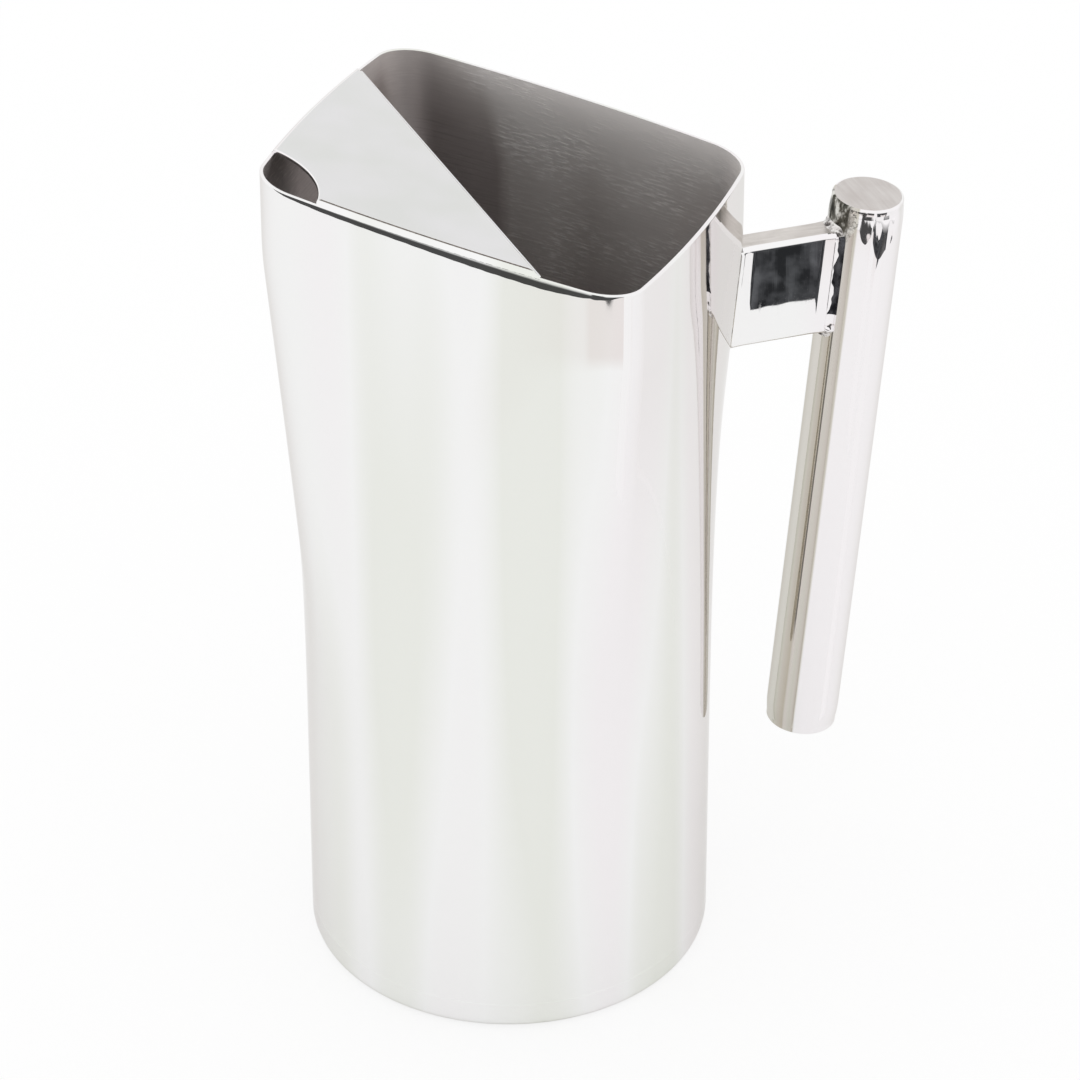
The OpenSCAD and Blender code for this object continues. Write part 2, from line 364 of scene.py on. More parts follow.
class Look:
    """The node tree of a material or of the world."""

    def __init__(self, owner):
        owner.use_nodes = True
        self.owner, self.tree = owner, owner.node_tree
        self.tree.nodes.clear()

    def node(self, kind, settings=None, inputs=None, output=0):
        """Adds a node, with its settings, then its sockets by name or number; gives an output."""
        made = self.tree.nodes.new(kind)
        for key, value in (settings or {}).items():
            if key == "stops":
                ramp = made.color_ramp.elements
                while len(ramp) < len(value):
                    ramp.new(0.5)
                for stop, (place, colour) in zip(ramp, value):
                    stop.position = place
                    stop.color = (*colour, 1)
            else:
                setattr(made, key, value)
        for key, value in (inputs or {}).items():
            if isinstance(value, Value):
                self.tree.links.new(value.socket, made.inputs[key])
            else:
                made.inputs[key].default_value = value
        return Value(self, made.outputs[output]) if len(made.outputs) else made

    def vector(self, operation, first, second=(0, 0, 0), output="Vector"):
        """Adds a Vector Math node and gives one of its results."""
        return self.node("ShaderNodeVectorMath", {"operation": operation}, {0: first, 1: second}, output)

    def turned_back(self, vector, angle):
        """The vector turned back by an angle in the plan."""
        if not angle:
            return vector
        return self.node("ShaderNodeVectorRotate", {"rotation_type": "Z_AXIS"},
                         {"Vector": vector, "Angle": -angle})

    def along(self, axis):
        """The Object coordinate along an axis, in metres."""
        place = self.node("ShaderNodeTexCoord", output="Object")
        return self.node("ShaderNodeSeparateXYZ", None, {"Vector": place}, output=axis)

    def noise(self, scale, stretch, detail=2.0, uv=False, offset=(0, 0, 0), turned=0.0):
        """Smooth noise, 0 to 1, with scale cells a metre, turned in the plan and then stretched."""
        place = self.node("ShaderNodeTexCoord", output="UV" if uv else "Object")
        place = self.node("ShaderNodeMapping", None, {"Vector": self.turned_back(place, turned),
                                                      "Scale": stretch, "Location": offset})
        return self.node("ShaderNodeTexNoise", None, {"Vector": place, "Scale": scale,
                                                      "Detail": detail, "Roughness": 0.55})

    def inside(self, centre, radii, turned=0.0):
        """1 at the centre of an ellipsoid turned in the plan, 0 at its surface, lower outside."""
        place = self.node("ShaderNodeTexCoord", output="Object")
        from_centre = self.turned_back(self.vector("SUBTRACT", place, centre), turned)
        scaled = self.vector("DIVIDE", from_centre, radii)
        return 1 - self.vector("LENGTH", scaled, output="Value")

    def ramp(self, value, stops):
        """Colour by value, through stops of (place, colour)."""
        return self.node("ShaderNodeValToRGB", {"stops": stops}, {"Fac": value})

    def greys(self, value, stops):
        """Grey by value, through stops of (place, tone)."""
        return self.ramp(value, [(place, (tone, tone, tone)) for place, tone in stops])

    def between(self, value, low, high):
        """0 below low, 1 above high, and a straight rise between."""
        return self.node("ShaderNodeMapRange", {"clamp": True},
                         {"Value": value, "From Min": low, "From Max": high})

    def mix(self, share, first, second):
        """Colour mixed from first to second by share."""
        return self.node("ShaderNodeMix", {"data_type": "RGBA"}, {0: share, 6: first, 7: second}, 2)

    def bump(self, height, distance, below=None):
        """Normal of a relief whose full height is distance, in millimetres, on one below it."""
        inputs = {"Height": height, "Distance": distance * MM, "Strength": 1.0}
        if below is not None:
            inputs["Normal"] = below
        return self.node("ShaderNodeBump", None, inputs)

    def steel(self, colour, roughness, normal, fixed=None, metal=1.0):
        """Ends the tree in a metal surface. fixed holds the values of further sockets."""
        surface = self.node("ShaderNodeBsdfPrincipled", None,
                            {"Base Color": colour, "Roughness": roughness, "Metallic": metal,
                             "Specular IOR Level": 0.1, "Normal": normal, **(fixed or {})})
        return self.end(surface)

    def dull(self, colour):
        """A dull surface."""
        return self.node("ShaderNodeBsdfDiffuse", None, {"Color": colour})

    def glow(self, level=1.0, colour=PURE_WHITE):
        """A surface that glows evenly, whatever the light."""
        return self.node("ShaderNodeEmission", None, {"Color": colour, "Strength": level})

    def blend(self, share, first, second):
        """Ends the tree in a surface blended from first to second by share."""
        return self.end(self.node("ShaderNodeMixShader", None, {"Fac": share, 1: first, 2: second}))

    def end(self, surface):
        """Ends the tree in a surface, and gives the material."""
        self.node("ShaderNodeOutputMaterial", None, {"Surface": surface})
        return self.owner


def new_look(name):
    """A fresh material with an empty tree."""
    return Look(bpy.data.materials.new(name))


# Polished steel: the tones of its soft bands of painted reflection, and the tint of its mirror at a
# glancing angle
PAINTED_BAND_TONES = [(0.36, (0.85, 0.86, 0.815)), (0.48, (0.93, 0.93, 0.925)), (0.62, (0.93, 0.905, 0.915))]
EDGE_TINT = {"Specular Tint": (0.84, 0.83, 0.81, 1)}


def buffed(look, ripple_scale, ripple_height):
    """Colour, roughness and relief of buffed steel.

    Soft upright bands of green and pink grey painted into its colour as painted reflection, slow ripples
    and faint buffing lines.
    """
    # painted reflection: upright bands of green and pink grey in the steel's colour
    colour = look.ramp(look.noise(34, (1, 1, 0.06), 1.0), PAINTED_BAND_TONES)
    clouds = look.noise(60, (1, 1, 0.5), 3.0)
    lines = look.noise(1600, (1, 1, 0.02), 2.0)
    roughness = 0.015 + 0.04 * look.between(clouds, 0.5, 0.8) + 0.02 * lines
    ripples = look.bump(look.noise(ripple_scale, (1, 1, 0.6), 1.0), ripple_height)
    return colour, roughness, look.bump(lines, 0.0006, below=ripples)


def wall_steel():
    """The wall outside, in long slow ripples."""
    look = new_look("wall_steel")
    return look.steel(*buffed(look, 26, 0.06), EDGE_TINT)


def arm_steel():
    """The arm's sides: fine upright scratches and a few specks over the buffing."""
    look = new_look("arm_steel")
    colour, roughness, relief = buffed(look, 90, 0.022)
    scratches = look.between(look.noise(1500, (1, 1, 0.09), 2.0), 0.5, 0.75)
    patches = look.between(look.noise(120, (1, 1, 1), 3.0), 0.42, 0.65)
    roughness = 0.5 * roughness + 0.04 * scratches * patches
    return look.steel(colour, roughness, relief, EDGE_TINT)


# The rod: painted reflection as a stripe and a thin dark line by the share of the half turn round it
# from the arm, a smeared place at its weld, in metres, and a wavy draw below its cap, in millimetres
ROD_PAINTED_REFLECTION = [(0.0, 0.55), (0.05, 0.6), (0.085, 0.75), (0.155, 1.0), (0.175, 0.62), (0.24, 0.7),
            (0.262, 0.85), (0.278, 0.0)]
PAINTED_STRIPE_TONE = (0.535, 0.50, 0.415, 1)
PAINTED_LINE_TONE = (0.10, 0.09, 0.07, 1)
LINE_AT = 0.168
LINE_FOOT = 28
LINE_FULL = 36
SMEAR_CENTRE = (0.0885, 0.0, 0.193)
SMEAR_RADII = (0.0082, 0.0086, 0.0125)
SMEAR_TONES = [(0.40, (0.02, 0.02, 0.016)), (0.52, (0.12, 0.115, 0.095)), (0.62, (0.75, 0.74, 0.70))]
WAVE_START = 2.6
WAVE_REACH = 3.0
WAVE_SPREAD = 17
WAVE_SLOPE = 0.085


def round_rod(look):
    """Share of the half turn round the rod from the arm, and metres up from the arm's middle."""
    place = look.node("ShaderNodeTexCoord", output="Object")
    from_arm = look.vector("SUBTRACT", place, (ROD_X * MM, 0, ARM_Z * MM))
    level, rise = np.cos(HANDLE_TILT), np.sin(HANDLE_TILT)
    out = look.vector("DOT_PRODUCT", from_arm, (level, 0, -rise), output="Value")
    up = look.vector("DOT_PRODUCT", from_arm, (rise, 0, level), output="Value")
    side = look.along("Y")
    inward = -out / (out * out + side * side) ** 0.5
    return look.node("ShaderNodeMath", {"operation": "ARCCOSINE"}, {0: inward}) / np.pi, up


def smeared(look, steel):
    """The same steel with the dark smears of the weld in it.

    The fourth value it gives is how much of the surface is still bare metal.
    """
    colour, roughness, relief = steel
    smears = look.noise(420, (1, 1, 0.55), 4.0)
    share = look.between(look.inside(SMEAR_CENTRE, SMEAR_RADII) + 0.8 * (smears - 0.5), 0.05, 0.3)
    colour = look.mix(share, colour, look.ramp(smears, SMEAR_TONES))
    roughness = roughness + share * (0.06 + 0.14 * smears)
    return colour, roughness, look.bump(share * smears, 0.2, below=relief), 1 - 0.4 * share


def rod_steel():
    """The handle's tube, with painted reflection on its inner side, smeared at its weld and wavy at its
    upper end.

    From WAVE_START below the cap the tube is drawn in over a reach that changes round it, by
    WAVE_SLOPE times the distance up from the reach's end.
    """
    look = new_look("rod_steel")
    colour, roughness, relief = buffed(look, 60, 0.03)
    turn, up = round_rod(look)
    turn = turn + 0.01 * (look.noise(60, (1, 1, 0.2), 2.0) - 0.5)
    # painted reflection: a brownish stripe on the rod's inner side, by the turn round it
    colour = look.mix(look.greys(turn, ROD_PAINTED_REFLECTION), colour, PAINTED_STRIPE_TONE)
    # painted reflection: a thin dark line up the inner side, from LINE_FOOT to LINE_FULL
    off_line = look.node("ShaderNodeMath", {"operation": "ABSOLUTE"}, {0: turn - LINE_AT})
    line = look.between(off_line, 0.010, 0.005)
    line = line * look.between(up, (LINE_FOOT - ROD_BELOW) * MM, (LINE_FULL - ROD_BELOW) * MM)
    colour = look.mix(0.85 * line, colour, PAINTED_LINE_TONE)
    colour, roughness, relief, metal = smeared(look, (colour, roughness, relief))
    waves = look.noise(150, (1, 0.1, 1), 1.0, uv=True, offset=(2.1, 0, 0))
    reach = WAVE_REACH + WAVE_SPREAD * look.between(waves, 0.42, 0.78)
    rest = 1 - look.between(ROD_ABOVE - up / MM, WAVE_START, WAVE_START + reach)
    relief = look.bump(-WAVE_SLOPE * rest * reach, 1.0, below=relief)
    return look.steel(colour, roughness, relief, EDGE_TINT, metal)


# The brushed inside: tones of painted reflection and painted shade by place across the mouth, from
# the spout to the handle, and the colours they take
INSIDE_REACH = 0.062
INSIDE_PAINTED_BANDS = [(0.0, 0.0), (0.40, 0.0), (0.485, 0.15), (0.53, 0.0), (0.66, 0.0), (0.682, 0.8),
                (0.745, 1.0), (0.81, 0.65), (0.87, 0.9), (0.91, 0.85), (0.95, 0.55), (1.0, 0.3)]
INSIDE_TONES = [(0.0, (0.20, 0.18, 0.175)), (0.2, (0.52, 0.47, 0.46)), (0.6, (0.72, 0.675, 0.65)),
                (1.0, (0.94, 0.905, 0.88))]


def brushed_inside():
    """Inside of the wall: grey-brown, brushed round it, with short bright scratches in places.

    Upright bands of painted reflection and painted shade stand round the wall, and the light ones
    grow darker further down as painted shade. Towards the rim the bands shift and run together, and
    the surface takes on a painted pale sheen, lighter in colour and less metallic. The scratches are
    brighter where the painted bands and the rim are lighter. It is painted darker towards the spout,
    as painted shade under the ice guard by the pour hole.
    """
    look = new_look("brushed_inside")
    grain = look.noise(420, (0.12, 4.0, 1), 3.0, uv=True)
    x = look.along("X")
    ring = look.along("Z") + RIM_DROP * x
    rim = RIM_H * MM
    at_rim = look.between(ring, rim - 0.026, rim - 0.002) * look.between(x, -0.045, -0.012)
    across = look.between(x, -INSIDE_REACH, INSIDE_REACH) + 0.035 * at_rim
    # painted reflection and painted shade: upright light and dark bands in the inside's colour
    bands = look.greys(across, INSIDE_PAINTED_BANDS)
    bands = bands + at_rim * (0.9 * look.between(across, 0.59, 0.73) - bands)
    # painted shade: the bands grow darker further down from the rim
    fade = look.between(ring, rim - 0.075, rim)
    # painted sheen: a pale glow at the rim, which also makes the steel less metallic there
    glow = look.between(ring, rim - 0.017, rim) ** 2.0 * at_rim * (0.3 + 0.7 * bands)
    # painted light: paler colour at the rim over the painted bands
    tone = bands * (0.42 + 0.58 * fade) + (0.25 + 0.3 * bands) * at_rim * at_rim
    tone = tone + 0.3 * (grain - 0.5)
    dashes = look.noise(270, (1.0, 6.0, 1), 2.0, uv=True, offset=(3.0, 1.0, 0))
    patches = look.between(look.noise(40, (1, 1, 1), 2.0, uv=True), 0.38, 0.6)
    # the scratches' brightness follows the painted bands and the painted shade further down
    marks = look.between(dashes, 0.50, 0.70) * patches * (0.1 + bands) * (0.25 + 0.75 * fade)
    # painted shade: darker towards the spout, under the ice guard by the pour hole
    painted_shade_by_hole = look.between(x, -0.044, -0.052) * (0.8 + 0.8 * (grain - 0.5))
    colour = look.ramp(0.2 + 0.8 * (tone + marks) - 0.22 * painted_shade_by_hole, INSIDE_TONES)
    relief = look.bump(grain, 0.015, below=look.bump(marks, 0.08))
    brushing = {"Anisotropic": 0.85, "Anisotropic Rotation": 0.25}
    metal = 1 - 0.75 * glow - 0.4 * marks
    return look.steel(colour, 0.42 + 0.16 * grain, relief, brushing, metal)


def satin_plate():
    """Ice guard: pale satin with a fine even grain."""
    look = new_look("satin_plate")
    grain = look.noise(2600, (1, 0.25, 1), 3.0)
    clouds = look.noise(45, (1, 1, 1), 2.0)
    colour = look.ramp(clouds, [(0.35, (0.725, 0.73, 0.715)), (0.65, (0.765, 0.76, 0.765))])
    return look.steel(colour, 0.3 + 0.12 * grain, look.bump(grain, 0.004))


def ground_steel(name, dark, light, stretch):
    """Ground flat faces: fine lines one way, which stretch sets, over cloudy grey-brown."""
    look = new_look(name)
    lines = look.noise(900, stretch, 3.0)
    clouds = look.noise(160, (1, 1, 1), 3.0)
    colour = look.ramp(0.6 * lines + 0.4 * clouds, [(0.34, dark), (0.66, light)])
    return look.steel(colour, 0.3 + 0.16 * lines, look.bump(lines, 0.006))


def weld_steel():
    """Weld metal: bright, lumpy and buffed over, with dark smears in its hollows."""
    look = new_look("weld_steel")
    lumps = look.noise(420, (1, 1, 1), 2.0)
    pits = look.between(look.noise(600, (1, 1, 1), 3.0), 0.38, 0.56)
    colour = look.mix(pits, (0.10, 0.09, 0.085, 1), (0.80, 0.78, 0.76, 1))
    return look.steel(colour, 0.06 + 0.22 * lumps, look.bump(lumps, 0.2))


def toe_shade_steel():
    """Painted shade at a weld's toe: steel painted nearly black, still smooth."""
    look = new_look("toe_shade_steel")
    spots = look.noise(500, (1, 1, 0.5), 3.0)
    colour = look.ramp(spots, [(0.35, (0.012, 0.012, 0.014)), (0.7, (0.10, 0.10, 0.11))])
    return look.steel(colour, 0.12 + 0.25 * spots, look.bump(spots, 0.06))


def groove_shade_steel():
    """Dark grey-brown painted shade in the groove between border and plate."""
    look = new_look("groove_shade_steel")
    spots = look.noise(1500, (1, 1, 1), 3.0)
    colour = look.ramp(spots, [(0.3, (0.14, 0.12, 0.105)), (0.7, (0.34, 0.30, 0.27))])
    return look.steel(colour, 0.4 + 0.2 * spots, look.bump(spots, 0.02))


MIRROR = wall_steel()
HANDLE_MIRROR = arm_steel()
ROD_MIRROR = rod_steel()
BRUSHED = brushed_inside()
SATIN = satin_plate()
ARM_TOP = ground_steel("ground_arm_top", (0.56, 0.525, 0.495), (0.74, 0.705, 0.675), (0.1, 1, 1))
CAP_FACE = ground_steel("ground_cap", (0.56, 0.52, 0.50), (0.68, 0.65, 0.63), (1, 0.08, 1))
WELD = weld_steel()
GROOVE_SHADE = groove_shade_steel()
TOE_SHADE = toe_shade_steel()


def rim_roll(below, x):
    """How far in the wall's outer face is, at a depth below the rim and at x along the outline.

    It grows as the square of the height within the rolled strip, whose own height changes along
    the rim and ripples by a few percent, so that its slope at the rim is the same everywhere.
    """
    height = np.interp(x, RIM_ROLL_X, RIM_ROLL_H) * (1 + sines(x, RIM_ROLL_WAVES))
    return RIM_ROLL_SLOPE / 2 * height * np.clip(1 - below / height, 0, 1) ** 2


def make_wall():
    """The wall as one closed sheet: outer face, rim and inner face.

    The outer face rolls inward below the rim, as far as hand buffing has drawn it, and the rim's
    two edges are quarter circles.
    """
    x = OUTLINE[:, 0]
    depth = RIM_H - SHELL_Z
    below = np.concatenate([np.linspace(depth, ROLL_ZONE, WALL_ROWS)[:-1],
                            np.linspace(ROLL_ZONE, RIM_EDGE_R, ROLL_ROWS)])
    outer = rim_roll(below[:, None], x)
    outer_edge = arc((RIM_EDGE_R, -RIM_EDGE_R), RIM_EDGE_R, 180, 90, 6)[1:]
    inner_r = RIM_EDGE_R / 2
    inner_edge = arc((WALL_T - inner_r, -inner_r), inner_r, 90, 0, 4)
    inside = np.linspace(RIM_EDGE_R, depth, INSIDE_ROWS)
    drop = np.concatenate([-below, outer_edge[:, 1], inner_edge[:, 1], -inside])
    inner = np.concatenate([inner_edge[:, 0], np.full(INSIDE_ROWS, WALL_T)])
    inset = np.concatenate([outer, outer_edge[:, :1] + outer[-1],
                            np.broadcast_to(inner[:, None], (len(inner), len(x)))])
    points = wall_rings(RIM_H + drop, inset)
    rim_rows = len(points) - INSIDE_ROWS
    finish = (np.arange(len(points)) >= rim_rows - 1)[:, None]
    piece = Piece("wall").grid(points, wrap_rows=True, wrap_cols=True, finish=finish)
    piece.make([MIRROR, BRUSHED], "polished_steel", "body_shell")


def make_foot():
    """The pressed base pan and the ground seam above it, both turned round the axis."""
    inner_r = BODY_R - WALL_T
    flat_r = BODY_R - BASE_EDGE_R
    outside = np.concatenate([
        [(0, 0)],
        np.column_stack([np.linspace(4, flat_r, 14), np.zeros(14)]),
        arc((flat_r, BASE_EDGE_R), BASE_EDGE_R, -90, 0, 12)[1:],
        [(BODY_R, PAN_H - PAN_BEVEL), (BODY_R - PAN_BEVEL, PAN_H)]])
    inside = np.concatenate([
        [(inner_r, PAN_H)],
        arc((flat_r, BASE_EDGE_R + BASE_T - WALL_T), BASE_EDGE_R - WALL_T, 0, -90, 10),
        [(0, BASE_T)]])
    profile = np.concatenate([outside, inside])
    finish = (np.arange(len(profile) - 1) >= len(outside))[:, None]
    pan = Piece("foot_pan").grid(lathe(profile, FOOT_STEPS), wrap_cols=True, finish=finish)
    pan.make([MIRROR, BRUSHED], "polished_steel", "base_pan")
    seam = np.array([(inner_r, PAN_H), (BODY_R - SEAM_RISE, PAN_H), (BODY_R, PAN_H + SEAM_BEVEL),
                     (BODY_R, SHELL_Z - SEAM_BEVEL), (BODY_R - SEAM_RISE, SHELL_Z),
                     (inner_r, SHELL_Z)])
    ring = Piece("foot_seam").grid(lathe(seam, FOOT_STEPS), wrap_rows=True, wrap_cols=True)
    ring.make([MIRROR], "weld_steel", "base_seam_weld")


def guard_runs():
    """The guard's edge in plan, anticlockwise, as four runs with their inward normals.

    They are the back wall from the free edge to the pour hole, the hole's arc, the front wall back
    to the free edge, and the straight free edge. FRONT_RUN and WALL_RUNS number them.
    """
    line, normal = mouth_outline(900, 3000)
    clear = np.linalg.norm(line - POUR_CENTRE, axis=1) > POUR_R
    kept = (line[:, 0] < GUARD_EDGE_X) & clear
    back = kept & (line[:, 1] > 0)
    front = kept & (line[:, 1] < 0)
    wall_steps, hole_steps, free_steps = GUARD_STEPS
    back, front = (resample(np.hstack([line[side], -normal[side]]), wall_steps)
                   for side in (back, front))
    start, end = (np.arctan2(*(p - POUR_CENTRE)[::-1]) for p in (back[-1, :2], front[0, :2]))
    turn = unit(np.linspace(start, end, hole_steps))
    hole = np.hstack([POUR_CENTRE + POUR_R * turn, turn])
    free = np.linspace(front[-1, :2], back[0, :2], free_steps)
    free = np.hstack([free, np.tile([-1.0, 0.0], (free_steps, 1))])
    return [back, hole, front, free]


def on_rim(plan, height):
    """Puts points of a plan on the slanted plane of the rim, height above it."""
    z = RIM_H - RIM_DROP * plan[..., 0] + height / np.cos(RIM_SLOPE)
    return np.concatenate([plan, np.broadcast_to(z, plan.shape[:-1])[..., None]], axis=-1)


def spout_gap(plan):
    """Distance in from the nearer of the mouth's two sides at the spout, and the way out to it."""
    hand = np.where(plan[..., 1:] < 0, -1.0, 1.0)
    centre = -BOW_BACK * unit(0.75 * np.pi) * np.concatenate([np.ones_like(hand), hand], axis=-1)
    out = plan - centre
    far = np.linalg.norm(out, axis=-1)
    return BOW_R - far, out / far[..., None]


def make_guard():
    """The ice guard: a flat satin plate with a buffed round border along the walls.

    Rings of points run inward from the plate's edge. Each is the edge itself, moved again and
    again off the walls, the free edge and the pour hole until it is as far from each as the ring
    asks for, so its corners fall where those distances meet. A point's height is the lower of
    two rounds: a quarter of an ellipse over the distance in from the wall's face, which starts a
    little below the rim where the wall's rolled face ends, and a quarter circle at the free
    edge and the hole. Along the front wall a shallow groove separates border and plate. The flat
    underside keeps in from the walls, and the corners by the walls go down with the border.
    """
    runs = guard_runs()
    line = np.concatenate(runs)
    run_of = np.repeat(np.arange(len(runs)), [len(run) for run in runs])
    turn = np.linspace(0, np.pi / 2, 12)
    steps = GUARD_GROOVE * np.array(GROOVE_STEPS)
    start = rim_roll(GUARD_LOW, line[:, 0])
    off_wall = start + (GUARD_BAND - start) * (1 - np.cos(turn[:, None]))
    past_band = np.broadcast_to(GUARD_BAND + steps[:, None], (len(steps), len(line)))
    off_wall = np.concatenate([off_wall, past_band])
    off_cut = np.concatenate([GUARD_EDGE * (1 - np.cos(turn)), GUARD_EDGE + steps])[:, None]
    plan = np.broadcast_to(line[:, :2], (*off_wall.shape, 2)).copy()
    for _ in range(GUARD_ROUNDS):
        gap, out = spout_gap(plan)
        plan -= np.maximum(off_wall - gap, 0)[..., None] * out
        plan[..., 0] = np.minimum(plan[..., 0], GUARD_EDGE_X - off_cut)
        from_hole = plan - POUR_CENTRE
        far = np.linalg.norm(from_hole, axis=-1)
        plan = POUR_CENTRE + from_hole * np.maximum(1, (POUR_R + off_cut) / far)[..., None]
    gap = spout_gap(plan)[0]
    cut = np.minimum(GUARD_EDGE_X - plan[..., 0], np.linalg.norm(plan - POUR_CENTRE, axis=-1) - POUR_R)
    share = 1 - np.cos(GUARD_START) * (1 - np.clip((gap - start) / (GUARD_BAND - start), 0, 1))
    low = np.sin(GUARD_START)
    rise = (np.sqrt(1 - (1 - share) ** 2) - low) / (1 - low)
    wall_round = (GUARD_T + GUARD_LOW) * rise - GUARD_LOW
    cut_share = np.clip(1 - cut / GUARD_EDGE, 0, 1)
    cut_round = GUARD_T - GUARD_EDGE * (1 - np.sqrt(1 - cut_share ** 2))
    height = np.minimum(wall_round, cut_round)
    in_groove = (run_of == FRONT_RUN) * ease((cut - GUARD_EDGE) / GUARD_GROOVE)
    groove_rings = slice(-len(steps), 2 - len(steps))
    height[groove_rings] -= GROOVE_DIP * in_groove[groove_rings]
    on_wall = np.isin(run_of, WALL_RUNS)
    sunk = np.where(on_wall, GUARD_SINK * GUARD_BAND, 0)[:, None] * line[:, 2:]
    foot_height = np.where(on_wall, -GUARD_UNDER, -GUARD_LOW * (gap[0] < GUARD_CORNER))
    foot = on_rim(line[:, :2] + sunk, foot_height)
    grid = np.concatenate([foot[None], on_rim(plan, height)])
    row = np.arange(len(grid) - 1)[:, None]
    # the groove's rows along the front wall take the painted groove shade
    inner = np.where((row < len(grid) - 2) & (run_of == FRONT_RUN), 2, 1)
    finish = np.where(row >= len(grid) - 1 - len(steps), inner, 0)
    piece = Piece("guard_plate").grid(grid, wrap_cols=True, finish=finish)
    piece.flat(grid[-1], 1)
    piece.flat(grid[0], 1)
    piece.make([MIRROR, SATIN, GROOVE_SHADE], "satin_steel", "ice_guard", sharp=30)


def make_guard_weld(name, hand, node):
    """A fillet under the plate along one wall: a quarter round whose size ripples along it.

    Its size is GUARD_BEAD times 0.86 plus a fast and a slow sine of the length, and falls to
    nothing at both ends. hand is -1 for the front wall and 1 for the back.
    """
    line, normal = mouth_outline(400, 1400)
    clear = np.linalg.norm(line - POUR_CENTRE, axis=1) > POUR_R + GUARD_BEAD
    kept = (line[:, 0] < GUARD_EDGE_X - GUARD_BEAD) & clear & (hand * line[:, 1] > 0)
    path = resample(np.hstack([line[kept], normal[kept]]), BEAD_STEPS)
    along = np.linspace(0, 1, BEAD_STEPS)
    ends = np.sqrt(np.clip(1 - np.abs(2 * along - 1) ** 12, 0, 1))
    size = GUARD_BEAD * ends * (0.86 + sines(along, BEAD_RIPPLES))
    turn = np.radians(np.linspace(0, 90, 8))
    section = np.concatenate([[(0.0, 0.0)], unit(turn) * (0.96, -0.96)])
    inset = WALL_T + section[None, :, :1] * size[:, None, None]
    plan = path[:, None, :2] - inset * path[:, None, 2:]
    grid = on_rim(plan, section[None, :, 1] * size[:, None])
    Piece(name).grid(grid, wrap_cols=True).make([WELD], "weld_steel", node)


def make_rod():
    """The handle's tube and its two caps, turned round the rod's axis.

    The tube draws in a little over its last ROD_DRAW_H at each end.
    """
    low, high = -ROD_BELOW + CAP_T, ROD_ABOVE - CAP_T
    length = high - low
    up = np.concatenate([np.linspace(0, ROD_END_ZONE, 28),
                         np.linspace(ROD_END_ZONE, length - ROD_END_ZONE, 30)[1:-1],
                         np.linspace(length - ROD_END_ZONE, length, 28)])
    from_end = np.minimum(up, length - up)
    radius = ROD_R - ROD_DRAW * np.clip(1 - from_end / ROD_DRAW_H, 0, 1) ** 2
    inner_r = ROD_R - ROD_WALL
    profile = np.concatenate([np.column_stack([radius, low + up]), [(inner_r, high), (inner_r, low)]])
    tube = Piece("rod_tube").grid(on_handle(lathe(profile, HANDLE_STEPS)), wrap_rows=True,
                                  wrap_cols=True)
    tube.make([ROD_MIRROR], "polished_steel", "handle_rod")
    draw_end = ROD_R - ROD_DRAW
    flat_r = draw_end - CAP_EDGE_R
    for name, end, sign, node in (("cap_top", ROD_ABOVE, 1, "rod_top_cap"),
                                  ("cap_bottom", -ROD_BELOW, -1, "rod_bottom_cap")):
        face = np.column_stack([np.linspace(0, flat_r, 10), np.zeros(10)])
        edge = arc((flat_r, -CAP_EDGE_R), CAP_EDGE_R, 90, 0, 8)[1:]
        side = [(draw_end, -CAP_T), (0, -CAP_T)]
        profile = np.concatenate([face, edge, side])
        grid = lathe(profile * (1, sign) + (0, end), HANDLE_STEPS)
        finish = (np.arange(len(profile) - 1) >= len(face) - 1)[:, None]
        piece = Piece(name).grid(on_handle(grid), wrap_cols=True, finish=finish)
        piece.make([CAP_FACE, ROD_MIRROR], "satin_steel", node)


def wall_out(side, up):
    """Distance out from the rod's axis, along the arm, to the outer face of the wall.

    The line along the arm is followed by steps: x gives the ring's height, the ring gives the
    distance from the axis in that direction, and that gives x again.
    """
    angle = np.arctan2(OUTLINE[:, 1], OUTLINE[:, 0])
    order = np.argsort(angle)
    reach_of = np.linalg.norm(OUTLINE, axis=1)[order]
    out = np.full(side.shape, -ROD_R - ROD_GAP)
    for _ in range(WALL_ROUNDS):
        place = on_handle(np.stack([out, side, up], axis=-1))
        slant = RIM_DROP * place[..., 0] / (RIM_H - SHELL_Z)
        h = (place[..., 2] - slant * SHELL_Z) / (1 - slant)
        square = np.interp(np.arctan2(side, place[..., 0]), angle[order], reach_of)
        share = square_share(h)
        radius = share * square + (1 - share) * BODY_R
        wanted = np.sqrt(radius ** 2 - side ** 2)
        out = out + (wanted - place[..., 0]) / np.cos(HANDLE_TILT)
    return out


